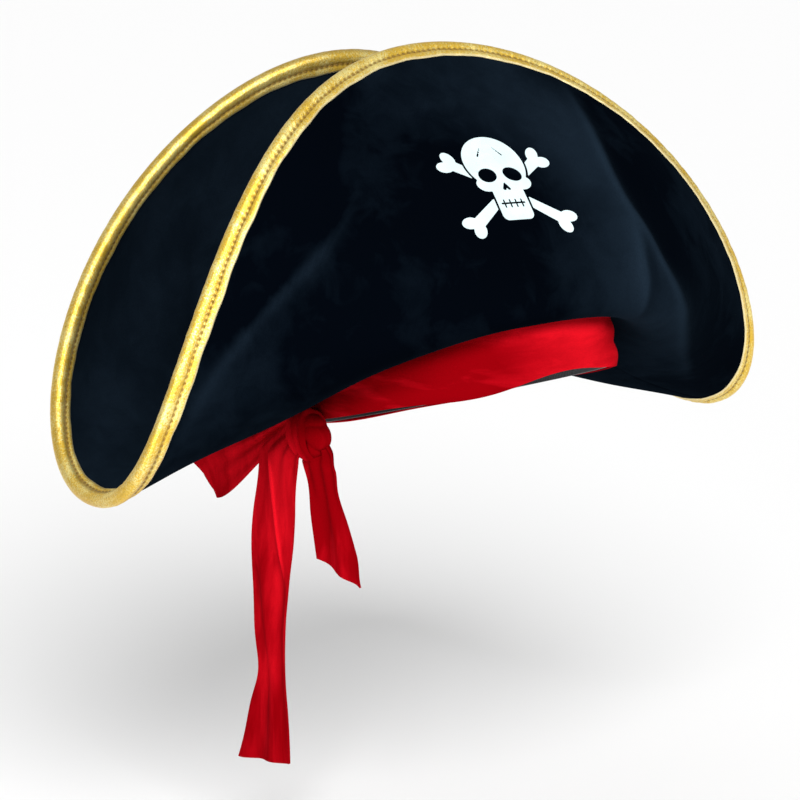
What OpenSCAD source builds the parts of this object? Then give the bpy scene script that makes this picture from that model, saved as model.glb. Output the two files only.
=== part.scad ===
// Pirate hat with a turned-up two-horned brim, worn on an upright head.
// Row frame: +Z up, the front of the hat faces -Y, +X is the wearer's left.
// The origin is the centre of the head opening, on the band's lower edge.
// "Hat frame" below means the same frame before the whole hat is tilted back by hat_tilt.

/* [Head opening] */
// Half of the opening across the head, ear to ear
head_a = 79.5; // [74:0.5:84]
// Half of the opening along the head, brow to nape
head_b = 98; // [92:0.5:103]
// How far the hat is tipped back on the head, in degrees
hat_tilt = 18; // [10:1:24]

/* [Brim] */
// Half of the brim's span from horn to horn
brim_half_span = 204; // [190:1:215]
// Mean height of the brim's edge above the opening
edge_mean_z = 74; // [68:1:78]
// Half of the height difference between the horns and the top of the panels
edge_swing_z = 110; // [100:1:116]
// Half of the depth from the front panel's edge to the back panel's edge
edge_depth = 65.5; // [60:0.5:70]
// How far the brim rolls out from the seam before it turns up
roll_out = 31; // [28:1:34]
// Thickness of the foam core
core_t = 3; // [2:0.5:3]
// Thickness of each velvet facing
facing_t = 0.8; // [0.6:0.1:0.8]

/* [Crown] */
// Height of the crown above the brim seam
crown_h = 86; // [78:1:90]
// Thickness of the crown cloth
crown_t = 1.2; // [0.8:0.1:1.2]

/* [Gold binding] */
// Width of the binding on each face of the brim
binding_w = 9.5; // [7:0.5:11]

/* [Red sash] */
// Height of the sash where it shows under the brim
band_h = 26; // [20:1:26]
// Thickness of the folded sash ribbon
ribbon_t = 1.6; // [1:0.1:1.8]
// Gap left at each place where the ribbon bends
bend_gap = 1; // [0.8:0.1:1.4]

/* [Skull print] */
// Height of the skull
skull_h = 57; // [44:1:58]
// Where the print's middle lies between the seam (0) and the edge (1)
print_u = 0.63; // [0.56:0.01:0.65]
// Where the print's middle lies round the brim, in degrees, with 270 at the front
print_t = 269; // [262:1:278]
// Turn of the print in the plane of the panel, in degrees
print_turn = -4; // [-10:1:10]

/* [Hidden] */

velvet = [0.05, 0.06, 0.09];
foam = [0.25, 0.25, 0.27];
satin = [0.12, 0.12, 0.14];
gold = [0.87, 0.66, 0.18];
red = [0.82, 0.05, 0.10];
white = [0.90, 0.95, 0.96];

seam_z = 30;                 // height of the crown and brim seam
layer_gap = 0.1;             // space left between layers of cloth
edge_gap = 0.4;              // space between the brim's raw edge and the binding's fold
binding_gap = 0.3;           // space between a facing and the binding that covers it
binding_t = 0.8;             // thickness of the binding
binding_swell = 0.3;         // how far each face of the binding swells at its middle
tack_gap = 0.7;              // space left at each end of a thread tack
tack_r = 0.8;                // radius of a thread tack
seam_grow = 5;               // how far the brim seam lies outside the head oval
t_step = 4.5;                // angle between the brim's modelled sections
u_steps = 8;                 // sections from the seam to the binding
front = [180, 360];          // the half of the brim in front of the side seams
back = [0, 180];
outer_lo = core_t / 2 + layer_gap;
outer_hi = outer_lo + facing_t;

// ---------- small helpers
function unit(v) = v / norm(v);
function oval(grow, t, z) = [(head_a + grow) * cos(t), (head_b + grow) * sin(t), z];
function steps(from, to, n) = [for (i = [0:n]) from + (to - from) * i / n];
function angles(span) = [for (t = [span[0]:t_step:span[1]]) t];

// A closed solid between two grids of points. With ring = true the rows join up.
module slab(top, bottom, ring = false) {
    rows = len(top);
    cols = len(top[0]);
    last = ring ? rows - 1 : rows - 2;
    half = rows * cols;
    function id(side, i, j) = side * half + (i % rows) * cols + j;
    function quad(a, b, c, d) = [[a, b, c], [a, c, d]];
    faces = concat(
        [for (i = [0:last], j = [0:cols - 2])
            each quad(id(0, i, j), id(0, i, j + 1), id(0, i + 1, j + 1), id(0, i + 1, j))],
        [for (i = [0:last], j = [0:cols - 2])
            each quad(id(1, i, j), id(1, i + 1, j), id(1, i + 1, j + 1), id(1, i, j + 1))],
        [for (i = [0:last])
            each quad(id(0, i, 0), id(0, i + 1, 0), id(1, i + 1, 0), id(1, i, 0))],
        [for (i = [0:last])
            each quad(id(0, i, cols - 1), id(1, i, cols - 1), id(1, i + 1, cols - 1), id(0, i + 1, cols - 1))],
        ring ? [] : [for (j = [0:cols - 2])
            each quad(id(0, 0, j), id(1, 0, j), id(1, 0, j + 1), id(0, 0, j + 1))],
        ring ? [] : [for (j = [0:cols - 2])
            each quad(id(0, rows - 1, j), id(0, rows - 1, j + 1), id(1, rows - 1, j + 1), id(1, rows - 1, j))]);
    points = concat([for (row = top) each row], [for (row = bottom) each row]);
    polyhedron(points, faces);
}

// A closed cap between an outer and an inner dome: each is a stack of rings and a pole.
module cap(outer, outer_pole, inner, inner_pole) {
    rings = len(outer);
    n = len(outer[0]);
    half = rings * n + 1;
    function id(side, i, j) = side * half + i * n + (j % n);
    function pole(side) = side * half + rings * n;
    faces = concat(
        [for (i = [0:rings - 2], j = [0:n - 1])
            each [[id(0, i, j), id(0, i + 1, j), id(0, i, j + 1)],
                  [id(0, i, j + 1), id(0, i + 1, j), id(0, i + 1, j + 1)]]],
        [for (i = [0:rings - 2], j = [0:n - 1])
            each [[id(1, i, j), id(1, i, j + 1), id(1, i + 1, j)],
                  [id(1, i, j + 1), id(1, i + 1, j + 1), id(1, i + 1, j)]]],
        [for (j = [0:n - 1]) [id(0, rings - 1, j), pole(0), id(0, rings - 1, j + 1)]],
        [for (j = [0:n - 1]) [id(1, rings - 1, j), id(1, rings - 1, j + 1), pole(1)]],
        [for (j = [0:n - 1])
            each [[id(0, 0, j), id(0, 0, j + 1), id(1, 0, j)],
                  [id(1, 0, j), id(0, 0, j + 1), id(1, 0, j + 1)]]]);
    points = concat([for (r = outer) each r], [outer_pole], [for (r = inner) each r], [inner_pole]);
    polyhedron(points, faces);
}

// Puts hat-frame geometry into the row frame.
module tilted() {
    rotate([-hat_tilt, 0, 0]) children();
}

// ---------- the brim's middle surface: t runs round the head, u from the seam to the edge
function edge_pt(t) = [
    brim_half_span * (cos(t) - 0.08 * cos(3 * t) - 0.01 * cos(5 * t)) / 0.91,
    25 + 12.5 * cos(2 * t) - 3.8 * cos(4 * t) + edge_depth * sin(t) + 21 * sin(3 * t) - 6.6 * sin(5 * t),
    edge_mean_z - edge_swing_z * cos(2 * t) + 10 * cos(4 * t) + 3.3 * cos(6 * t) + 6 * sin(t)];
function seam_pt(t) = oval(seam_grow, t, seam_z);
function roll_pt(t) = seam_pt(t)
    + (roll_out - 7 * pow(cos(t), 2)) * [cos(t), sin(t), 0] - (16 + 10 * pow(cos(t), 2)) * [0, 0, 1];
function reach(t) = 80 - 28 * pow(cos(t), 2);
function reach_pt(t) = edge_pt(t) + reach(t) * unit([
    -cos(t) * abs(cos(t)), 0.56 * sin(t), 0.30 * pow(cos(t), 2) - 0.83 * pow(sin(t), 2)]);
function brim_pt(t, u) = pow(1 - u, 3) * seam_pt(t) + 3 * u * pow(1 - u, 2) * roll_pt(t)
    + 3 * u * u * (1 - u) * reach_pt(t) + pow(u, 3) * edge_pt(t);
function brim_normal(t, u) = unit(cross(
    brim_pt(t + 1, u) - brim_pt(t - 1, u), brim_pt(t, u + 0.01) - brim_pt(t, u - 0.01)));
function brim_off(t, u, h) = brim_pt(t, u) + h * brim_normal(t, u);
function binding_u(t) = 1 - binding_w / (3 * reach(t));
function brim_us(t) = concat(steps(0, binding_u(t), u_steps), [(1 + binding_u(t)) / 2, 1]);
function brim_grid(span, h) = [for (t = angles(span)) [for (u = brim_us(t)) brim_off(t, u, h)]];

module brim_layer(span, lo, hi) {
    tilted() slab(brim_grid(span, hi), brim_grid(span, lo));
}

module front_brim_core() { color(foam) brim_layer(front, -core_t / 2, core_t / 2); }
module front_brim_outer() { color(velvet) brim_layer(front, outer_lo, outer_hi); }
module front_brim_inner() { color(velvet) brim_layer(front, -outer_hi, -outer_lo); }
module back_brim_core() { color(foam) brim_layer(back, -core_t / 2, core_t / 2); }
module back_brim_outer() { color(velvet) brim_layer(back, outer_lo, outer_hi); }
module back_brim_inner() { color(velvet) brim_layer(back, -outer_hi, -outer_lo); }

// ---------- gold binding folded over the brim's edge
function edge_out(t) = unit(edge_pt(t) - reach_pt(t));
function binding_section(t) =
    let (lo = outer_hi + binding_gap, hi = lo + binding_t, top = hi + binding_swell,
         u0 = binding_u(t), u1 = (1 + u0) / 2, out = edge_out(t))
    [brim_off(t, u0, hi), brim_off(t, u1, top), brim_off(t, 1, hi), edge_pt(t) + 2 * binding_t * out,
     brim_off(t, 1, -hi), brim_off(t, u1, -top), brim_off(t, u0, -hi),
     brim_off(t, u0, -lo), brim_off(t, u1, -lo), brim_off(t, 1, -lo) + edge_gap * out,
     brim_off(t, 1, lo) + edge_gap * out, brim_off(t, u1, lo), brim_off(t, u0, lo)];

module edge_binding() {
    sections = [for (t = [0:t_step:360 - t_step]) binding_section(t)];
    rows = len(sections);
    cols = len(sections[0]);
    color(gold) tilted() polyhedron(
        [for (s = sections) each s],
        [for (i = [0:rows - 1], j = [0:cols - 1])
            let (a = i * cols + j, b = i * cols + (j + 1) % cols,
                 c = ((i + 1) % rows) * cols + (j + 1) % cols, d = ((i + 1) % rows) * cols + j)
            each [[a, b, c], [a, c, d]]]);
}

// One stitch lies along the edge on the outside of the binding, at its middle.
module binding_stitches() {
    stitch = [3.4, 1, 0.6];
    lift = outer_hi + binding_gap + binding_t + binding_swell + layer_gap + stitch[2] / 2;
    color(gold) tilted()
        for (t = [t_step / 2:t_step:360]) {
            u = (1 + binding_u(t)) / 2;
            x = unit(brim_pt(t + 0.5, u) - brim_pt(t - 0.5, u));
            z = brim_normal(t, u);
            y = cross(z, x);
            p = brim_off(t, u, lift);
            multmatrix([[x[0], y[0], z[0], p[0]], [x[1], y[1], z[1], p[1]], [x[2], y[2], z[2], p[2]]])
                cube(stitch, center = true);
        }
}

// ---------- crown: a side wall and a top piece, each with its lining
crown_z = seam_z + 0.6;      // height of the crown's lower edge, just clear of the sweatband
crown_step = 7.5;            // angle between the crown's modelled sections
top_seam = 52;               // height angle of the seam between side and top
seam_gap = 0.4;              // height angle left open at that seam
last_ring = 84;              // height angle of the ring round the top's middle point
crown_grow = 2.4;            // crown cloth starts this far outside the head oval
lining_grow = 1.6;
lining_t = 0.6;
function crown_narrow(g) = pow(cos(g), 1.05);
function crown_rise(g, grow) = crown_z + (crown_h + grow) * sin(g);
function crown_pt(t, g, grow) = crown_narrow(g) * oval(grow, t, 0) + [0, 0, crown_rise(g, grow)];
function crown_ring(g, grow) = [for (t = [0:crown_step:360 - crown_step]) crown_pt(t, g, grow)];
function crown_grid(g0, g1, n, grow) =
    [for (t = [0:crown_step:360 - crown_step]) [for (g = steps(g0, g1, n)) crown_pt(t, g, grow)]];

module crown_wall(grow, thick) {
    tilted() slab(crown_grid(0, top_seam, 6, grow + thick), crown_grid(0, top_seam, 6, grow), ring = true);
}
module crown_cap(grow, thick) {
    hs = steps(top_seam + seam_gap, last_ring, 4);
    tilted() cap([for (g = hs) crown_ring(g, grow + thick)], [0, 0, crown_rise(90, grow + thick)],
                 [for (g = hs) crown_ring(g, grow)], [0, 0, crown_rise(90, grow)]);
}
module crown_side() { color(velvet) crown_wall(crown_grow, crown_t); }
module crown_top() { color(velvet) crown_cap(crown_grow, crown_t); }
module lining_side() { color(satin) crown_wall(lining_grow, lining_t); }
module lining_top() { color(satin) crown_cap(lining_grow, lining_t); }

// ---------- bands round the head
module oval_band(grow, thick, z0, z1) {
    tilted() translate([0, 0, z0]) linear_extrude(z1 - z0) difference() {
        polygon([for (t = [0:5:355]) [(head_a + grow + thick) * cos(t), (head_b + grow + thick) * sin(t)]]);
        polygon([for (t = [0:5:355]) [(head_a + grow) * cos(t), (head_b + grow) * sin(t)]]);
    }
}
module sweatband() { color(satin) oval_band(0, 1.4, 1, 29); }
module sash_band() { color(red) oval_band(1.8, 2.2, 0, band_h); }

// ---------- thread tacks that hold the turned-up panels against the crown
module tacks(angles_t, tack_u) {
    for (t = angles_t) {
        panel = brim_off(t, tack_u, -outer_hi - tack_gap);
        grow = crown_grow + crown_t + tack_gap;
        g = asin((panel[2] - crown_z) / (crown_h + grow));
        k = crown_narrow(g) / norm([panel[0] / (head_a + grow), panel[1] / (head_b + grow)]);
        reach_in = (1 - k) * norm([panel[0], panel[1]]);
        color(velvet) tilted() translate(panel) rotate([0, 0, atan2(-panel[1], -panel[0])])
            rotate([0, 90, 0]) cylinder(h = reach_in, r = tack_r, $fn = 16);
    }
}
module front_tacks() { tacks([258, 282], 0.42); }
module back_tacks() { tacks([78, 102], 0.36); }

// ---------- printed skull and crossbones on the front panel, in shares of the skull's height
bone_half = 0.61 * skull_h;  // middle of a bone to its knuckles
bone_r = 0.075 * skull_h;    // radius of a knuckle
bone_cross = [0, -0.15 * skull_h];

module mirrored() {
    children();
    mirror([1, 0]) children();
}
module bone(turn) {
    translate(bone_cross) rotate(turn) {
        square([2 * bone_half, 1.25 * bone_r], center = true);
        for (end = [-1, 1], side = [-1, 1])
            translate([end * bone_half, side * 0.8 * bone_r]) circle(r = bone_r, $fn = 24);
    }
}
module skull_outline() {
    translate([0, 0.16 * skull_h]) scale([0.31, 0.33]) circle(r = skull_h, $fn = 48);
    mirrored() translate([0.21 * skull_h, -0.06 * skull_h]) circle(r = 0.07 * skull_h, $fn = 24);
    hull() mirrored() {
        translate([0.15 * skull_h, -0.12 * skull_h]) circle(r = 0.06 * skull_h, $fn = 24);
        translate([0.10 * skull_h, -0.43 * skull_h]) circle(r = 0.06 * skull_h, $fn = 24);
    }
}
module skull_holes() {
    mirrored() translate([0.135 * skull_h, 0.03 * skull_h]) rotate(-12) scale([1, 0.85])
        circle(r = 0.095 * skull_h, $fn = 24);
    polygon(skull_h * [[0, -0.05], [-0.045, -0.15], [0.045, -0.15]]);
    translate([-0.13 * skull_h, -0.29 * skull_h]) square([0.26 * skull_h, 0.016 * skull_h]);
    for (i = [-1, 0, 1])
        translate([(0.075 * i - 0.008) * skull_h, -0.37 * skull_h]) square([0.016 * skull_h, 0.15 * skull_h]);
}

// Cuts the flat outline out of a thin layer that follows the panel's outer face.
module on_front_panel() {
    z = brim_normal(print_t, print_u);
    y = unit(cross(z, [1, 0, 0]));
    x = cross(y, z);
    p = brim_pt(print_t, print_u);
    lo = outer_hi + layer_gap;
    print_t_half = 10 * t_step;
    print_thick = 0.4;
    cut = 60;
    span = [270 - print_t_half, 270 + print_t_half];
    function patch(h) = [for (row = brim_grid(span, h)) [for (k = [2:u_steps]) row[k]]];
    color(white) tilted() intersection() {
        slab(patch(lo + print_thick), patch(lo));
        multmatrix([[x[0], y[0], z[0], p[0]], [x[1], y[1], z[1], p[1]], [x[2], y[2], z[2], p[2]]])
            rotate(print_turn) linear_extrude(cut, center = true) children();
    }
}
module skull_print() {
    on_front_panel() difference() { skull_outline(); skull_holes(); }
}
module crossbones_print() {
    bone_turn = 37;
    dark_line = 1.2;
    on_front_panel() difference() {
        for (turn = [-bone_turn, bone_turn]) bone(turn);
        offset(delta = dark_line) skull_outline();
    }
}

// ---------- knot, loop and tails of the sash, at the wearer's right, hanging plumb
knot = [-92, 3, -8];         // middle of the knot
long_tail_x = -99;           // upright plane in which the long tail hangs
short_tail_x = -95;
tail_top = -22;              // height at which the tails leave the knot
long_tail_len = 168;
short_tail_len = 54;

// A flat length of ribbon in an upright plane, between a front and a rear edge of [y, z] points.
module ribbon(x, fore, rear) {
    outline = concat(fore, [for (i = [len(rear) - 1:-1:0]) rear[i]]);
    color(red) translate([x - ribbon_t / 2, 0, 0]) rotate([90, 0, 90])
        linear_extrude(ribbon_t) polygon(outline);
}
// Middle line and half width of each tail at a share k of its length.
function long_mid(k) = 19 + 11 * sin(150 * k) + 12 * pow(k, 8);
function long_half(k) = 16.8 - 1.5 * sin(180 * k) + 7 * pow(k, 6);
function short_mid(k) = -11 - 19 * k;
function short_half(k) = 11.2 + 6.5 * k * k;

// The long tail's end is cut a little lower at the rear.
module long_tail(k0, k1) {
    gap = bend_gap / 2 / long_tail_len;
    ks = steps(k0 + gap, k1 - gap, 5);
    function low(k) = tail_top - k * long_tail_len;
    ribbon(long_tail_x,
           [for (k = ks) [long_mid(k) - long_half(k), low(k)]],
           [for (k = ks) [long_mid(k) + long_half(k), low(k) - 8 * pow(k, 12)]]);
}
module long_tail_upper() { long_tail(0, 1 / 3); }
module long_tail_middle() { long_tail(1 / 3, 2 / 3); }
module long_tail_lower() { long_tail(2 / 3, 1); }

// The short tail is cut on a slant: its front edge reaches lower than its rear edge.
module short_tail(k0, k1, slant) {
    gap = bend_gap / 2 / short_tail_len;
    ks = steps(k0 + gap, k1 - gap, 4);
    function drop(k) = slant * (k - k0) / (k1 - k0);
    ribbon(short_tail_x,
           [for (k = ks) [short_mid(k) - short_half(k), tail_top - k * short_tail_len - drop(k)]],
           [for (k = ks) [short_mid(k) + short_half(k), tail_top - k * short_tail_len + drop(k)]]);
}
module short_tail_upper() { short_tail(0, 0.5, 0); }
module short_tail_lower() { short_tail(0.5, 1, 5); }

module sash_knot() {
    color(red) translate(knot) scale([0.5, 1, 0.78]) sphere(r = 15, $fn = 32);
}

// The loop is the ribbon doubled back on itself, pointing rearwards and a little down.
module bow_loop() {
    loop_w = 24;
    loop_l = 72;
    neck_r = 1.4;
    end_r = 3;
    hollow_r = 0.4;
    loop_start = knot + [3, 16.5, -4];
    color(red) translate(loop_start) rotate([-25, 0, 12]) rotate([0, 0, 90])
        translate([0, 0, -loop_w / 2]) linear_extrude(loop_w) difference() {
            hull() {
                translate([neck_r, 0]) circle(r = neck_r, $fn = 24);
                translate([loop_l, 0]) circle(r = end_r, $fn = 24);
            }
            hull() {
                translate([3 * neck_r, 0]) circle(r = hollow_r, $fn = 24);
                translate([loop_l, 0]) circle(r = end_r - ribbon_t, $fn = 24);
            }
        }
}

crown_side();
crown_top();
lining_side();
lining_top();
sweatband();
front_brim_core();
front_brim_outer();
front_brim_inner();
back_brim_core();
back_brim_outer();
back_brim_inner();
edge_binding();
binding_stitches();
front_tacks();
back_tacks();
skull_print();
crossbones_print();
sash_band();
sash_knot();
bow_loop();
long_tail_upper();
long_tail_middle();
long_tail_lower();
short_tail_upper();
short_tail_lower();
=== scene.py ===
import random

import bmesh
import bpy
import numpy as np
from bpy.props import FloatProperty, FloatVectorProperty, IntProperty, PointerProperty
from mathutils import Matrix, Vector
from numpy import cos, exp, maximum, minimum, pi, radians, sin


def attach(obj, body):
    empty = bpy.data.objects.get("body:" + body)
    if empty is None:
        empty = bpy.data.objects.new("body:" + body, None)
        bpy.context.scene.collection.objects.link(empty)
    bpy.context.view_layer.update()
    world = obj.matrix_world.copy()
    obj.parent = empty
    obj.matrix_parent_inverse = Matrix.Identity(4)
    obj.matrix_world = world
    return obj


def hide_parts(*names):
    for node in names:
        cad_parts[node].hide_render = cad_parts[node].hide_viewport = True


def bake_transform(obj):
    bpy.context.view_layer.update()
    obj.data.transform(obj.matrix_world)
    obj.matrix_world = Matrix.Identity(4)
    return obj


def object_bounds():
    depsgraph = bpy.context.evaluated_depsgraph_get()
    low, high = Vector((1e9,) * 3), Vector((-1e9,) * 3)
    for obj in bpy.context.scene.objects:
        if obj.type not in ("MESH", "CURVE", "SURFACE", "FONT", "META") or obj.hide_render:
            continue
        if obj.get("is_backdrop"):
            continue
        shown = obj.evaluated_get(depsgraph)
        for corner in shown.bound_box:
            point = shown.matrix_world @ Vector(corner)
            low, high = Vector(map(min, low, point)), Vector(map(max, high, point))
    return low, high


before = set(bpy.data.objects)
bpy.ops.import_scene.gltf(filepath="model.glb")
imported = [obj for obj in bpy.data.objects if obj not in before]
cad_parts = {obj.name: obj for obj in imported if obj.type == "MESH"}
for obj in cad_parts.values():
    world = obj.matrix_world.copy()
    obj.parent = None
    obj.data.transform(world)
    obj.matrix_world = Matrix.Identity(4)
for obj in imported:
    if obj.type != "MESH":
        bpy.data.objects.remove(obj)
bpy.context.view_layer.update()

bl_info = {
    "name": "Pirate Hat",
    "version": (1, 0, 0),
    "blender": (4, 5, 0),
    "location": "View3D > Sidebar > Hat",
    "description": "Builds a turned-up velvet hat with a gold edge, a printed emblem and a tied red sash",
    "category": "Object",
}

MM = 0.001
HALVES = (("front", (180, 360)), ("back", (0, 180)))   # of the brim, in degrees round the head


# ---- numbers as arrays

def cosd(a):
    return cos(radians(a))


def sind(a):
    return sin(radians(a))


def vec(x, y, z):
    return np.stack(np.broadcast_arrays(x, y, z), axis=-1).astype(float)


def unit(v):
    return v / np.linalg.norm(v, axis=-1, keepdims=True)


def norm(v):
    return np.linalg.norm(v, axis=-1)


def col(a):
    """A row of numbers as a column, to scale a row of points."""
    return np.asarray(a, float)[..., None]


def ease(x):
    """Smooth step from 0 to 1."""
    x = np.clip(x, 0, 1)
    return x * x * (3 - 2 * x)


def bell(x, width):
    """1 at 0, falling to nearly 0 at twice the width."""
    return exp(-(x / width) ** 2)


def smooth_path(points, n, window):
    """n points along a path through hand-chosen points, with its corners rounded."""
    points = np.array(points, float)
    at = np.linspace(0, len(points) - 1, n)
    path = np.stack([np.interp(at, range(len(points)), c) for c in points.T], axis=-1)
    kernel = np.hanning(window + 2)[1:-1]
    kernel /= kernel.sum()
    half = window // 2
    padded = np.concatenate([2 * path[0] - path[half:0:-1], path, 2 * path[-1] - path[-2:-half - 2:-1]])
    return np.stack([np.convolve(c, kernel, "valid") for c in padded.T], axis=-1)[:n]


# ---- sizes and colours

def length(name, description, default):
    return FloatProperty(name=name, description=description, default=default, unit="LENGTH",
                         subtype="DISTANCE")


def colour(name, description, default):
    return FloatVectorProperty(name=name, description=description, default=default, subtype="COLOR", size=3,
                               min=0, max=1)


class HatSizes(bpy.types.PropertyGroup):
    head_width: length("Head width", "Head opening from ear to ear", 0.159)
    head_length: length("Head length", "Head opening from brow to nape", 0.196)
    hat_tilt: FloatProperty(name="Tilt", description="How far the hat is tipped back on the head",
                            default=radians(18), unit="ROTATION", subtype="ANGLE")
    brim_span: length("Brim span", "From horn to horn", 0.408)
    crown_height: length("Crown height", "From the brim seam to the crown's top", 0.086)
    foam_thickness: length("Foam", "Thickness of the brim's foam", 0.003)
    facing_thickness: length("Facing", "Thickness of each velvet facing", 0.0008)
    binding_width: length("Binding width", "Width of the gold binding on each face", 0.0095)
    stitch_pitch: length("Stitch pitch", "Distance from stitch to stitch along the binding", 0.0034)
    skull_height: length("Skull height", "Height of the printed skull", 0.057)
    sash_width: length("Sash width", "Height of the sash where it shows", 0.026)
    ribbon_thickness: length("Ribbon thickness", "Thickness of the sash ribbon", 0.0011)
    tail_length: length("Long tail", "Length of the long tail below the knot", 0.168)
    short_length: length("Short tail", "Length of the short tail below the knot", 0.054)
    floor_gap: length("Floor gap", "Height of the sash tail above the floor", 0.05)
    seed: IntProperty(name="Seed", description="Seed of the small irregularities", default=7, min=0)


class HatColours(bpy.types.PropertyGroup):
    velvet: colour("Velvet", "Black velvet, pressed flat", (0.0006, 0.0013, 0.0027))
    velvet_lit: colour("Velvet nap", "Black velvet where the nap stands", (0.0100, 0.0185, 0.0300))
    gold: colour("Gold", "Metal thread of the binding", (0.84, 0.54, 0.055))
    gold_pale: colour("Pale gold", "Binding where its threads are worn flat", (1.0, 0.86, 0.33))
    gold_shade: colour("Shaded gold", "Binding in its seams and between its threads", (0.17, 0.08, 0.004))
    gold_thread: colour("Gold thread", "Thread of the binding's stitches", (0.42, 0.25, 0.03))
    red: colour("Red velvet", "Sash velvet, pressed flat", (0.20, 0.0003, 0.0022))
    red_lit: colour("Red nap", "Sash velvet where the nap stands", (0.72, 0.006, 0.015))
    ink: colour("Print", "Ink of the printed emblem", (0.64, 0.78, 0.80))
    satin: colour("Lining", "Satin lining", (0.012, 0.013, 0.017))
    tape: colour("Sweatband", "Ribbed tape of the sweatband", (0.016, 0.016, 0.019))
    foam: colour("Foam", "Foam of the brim", (0.05, 0.05, 0.055))
    floor: colour("Floor", "Floor under the hat", (0.90, 0.90, 0.90))


def sizes():
    return bpy.context.scene.hat_sizes


def colours():
    return bpy.context.scene.hat_colours


def mm(value):
    return value / MM


# ---- shader maths

class Value:
    """A shader socket, so that maths on it is written as an expression."""

    def __init__(self, look, socket):
        self.look = look
        self.socket = socket

    def math(self, operation, *others):
        inputs = dict(enumerate((self, *others)))
        return self.look.node("ShaderNodeMath", {"operation": operation}, inputs)

    def __add__(self, other):
        return self.math("ADD", other)

    def __sub__(self, other):
        return self.math("SUBTRACT", other)

    def __rsub__(self, other):
        return self.look.node("ShaderNodeMath", {"operation": "SUBTRACT"}, {0: other, 1: self})

    def __mul__(self, other):
        return self.math("MULTIPLY", other)

    def __abs__(self):
        return self.math("ABSOLUTE")

    __radd__ = __add__
    __rmul__ = __mul__

    def wave(self, pitch):
        """Waves from 0 to 1, pitch apart."""
        return (self * (2 * pi / pitch)).math("SINE") * 0.5 + 0.5

    def step(self, low, high):
        """0 below low, 1 above high and smooth between."""
        return self.look.node("ShaderNodeMapRange", {"interpolation_type": "SMOOTHSTEP"},
                              {"Value": self, "From Min": low, "From Max": high})


class Look:
    """One procedural material under construction."""

    def __init__(self, name):
        self.material = bpy.data.materials.new(name)
        self.material.use_nodes = True
        self.tree = self.material.node_tree
        self.tree.nodes.clear()

    def node(self, kind, settings=None, inputs=None, out=0):
        """Adds a node: its settings first, then the values or links of its sockets."""
        made = self.tree.nodes.new(kind)
        for key, value in (settings or {}).items():
            setattr(made, key, value)
        for key, value in (inputs or {}).items():
            self.feed(made.inputs[key], value)
        return Value(self, made.outputs[out])

    def feed(self, socket, value):
        if isinstance(value, Value):
            self.tree.links.new(value.socket, socket)
        else:
            socket.default_value = value

    def place(self, scale=(1, 1, 1), out="Object"):
        """Object or UV coordinates, stretched."""
        at = self.node("ShaderNodeTexCoord", out=out)
        return self.node("ShaderNodeMapping", None, {"Vector": at, "Scale": scale})

    def noise(self, at, scale, detail=3.0, rough=0.5, twist=0.0):
        return self.node("ShaderNodeTexNoise", None,
                         {"Vector": at, "Scale": scale, "Detail": detail, "Roughness": rough,
                          "Distortion": twist})

    def split(self, at):
        parts = self.node("ShaderNodeSeparateXYZ", None, {"Vector": at}).socket.node
        return [Value(self, s) for s in parts.outputs]

    def mix(self, factor, a, b):
        """Colour a where factor is 0 and b where it is 1."""
        a, b = (c if isinstance(c, Value) else (*c, 1) for c in (a, b))
        made = self.tree.nodes.new("ShaderNodeMix")
        made.data_type = "RGBA"
        self.feed(made.inputs["Factor"], factor)
        self.feed(made.inputs[6], a)
        self.feed(made.inputs[7], b)
        return Value(self, made.outputs[2])

    def bump(self, height, strength, distance, over=None):
        inputs = {"Height": height, "Strength": strength, "Distance": distance}
        if over:
            inputs["Normal"] = over
        return self.node("ShaderNodeBump", None, inputs)

    def finish(self, **inputs):
        """Links the shader. Names are the sockets' own with _ for a space."""
        named = {key.replace("_", " "): value for key, value in inputs.items()}
        for key in ("Base Color", "Sheen Tint", "Coat Tint", "Specular Tint"):
            if key in named and not isinstance(named[key], Value):
                named[key] = (*named[key], 1)
        surface = self.node("ShaderNodeBsdfPrincipled", None, named)
        output = self.tree.nodes.new("ShaderNodeOutputMaterial")
        self.tree.links.new(surface.socket, output.inputs["Surface"])
        return self.material


def velvet_look(name, pressed, lit, mottle, stretch, sheen, tint, rough):
    """Crushed velvet: a mottled nap, a fine pile and a soft sheen at grazing angles."""
    look = Look(name)
    at = look.place()
    broad = look.noise(look.place(stretch), 13.0, 3.0, 0.55, 0.3)
    small = look.noise(look.place(stretch), 60.0, 4.0, 0.6, 0.5)
    pile = look.noise(at, 2600.0, 1.0)
    stands = look.node("ShaderNodeAttribute", {"attribute_name": "nap"}, out=2)
    nap = (broad * 0.6 + small * 0.4).step(0.38, 0.66) * mottle + stands
    tone = look.mix(nap, pressed, lit)
    tone = look.mix(pile.step(0.3, 0.75) * 0.35, tone, pressed)
    folds = look.bump(broad * 0.7 + small * 0.3, 0.35, 0.004)
    normal = look.bump(pile, 0.25, 0.0004, folds)
    return look.finish(Base_Color=tone, Roughness=rough - 0.1 * pile, Normal=normal,
                       Specular_IOR_Level=0.0, Sheen_Weight=sheen, Sheen_Roughness=0.32, Sheen_Tint=tint)


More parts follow.
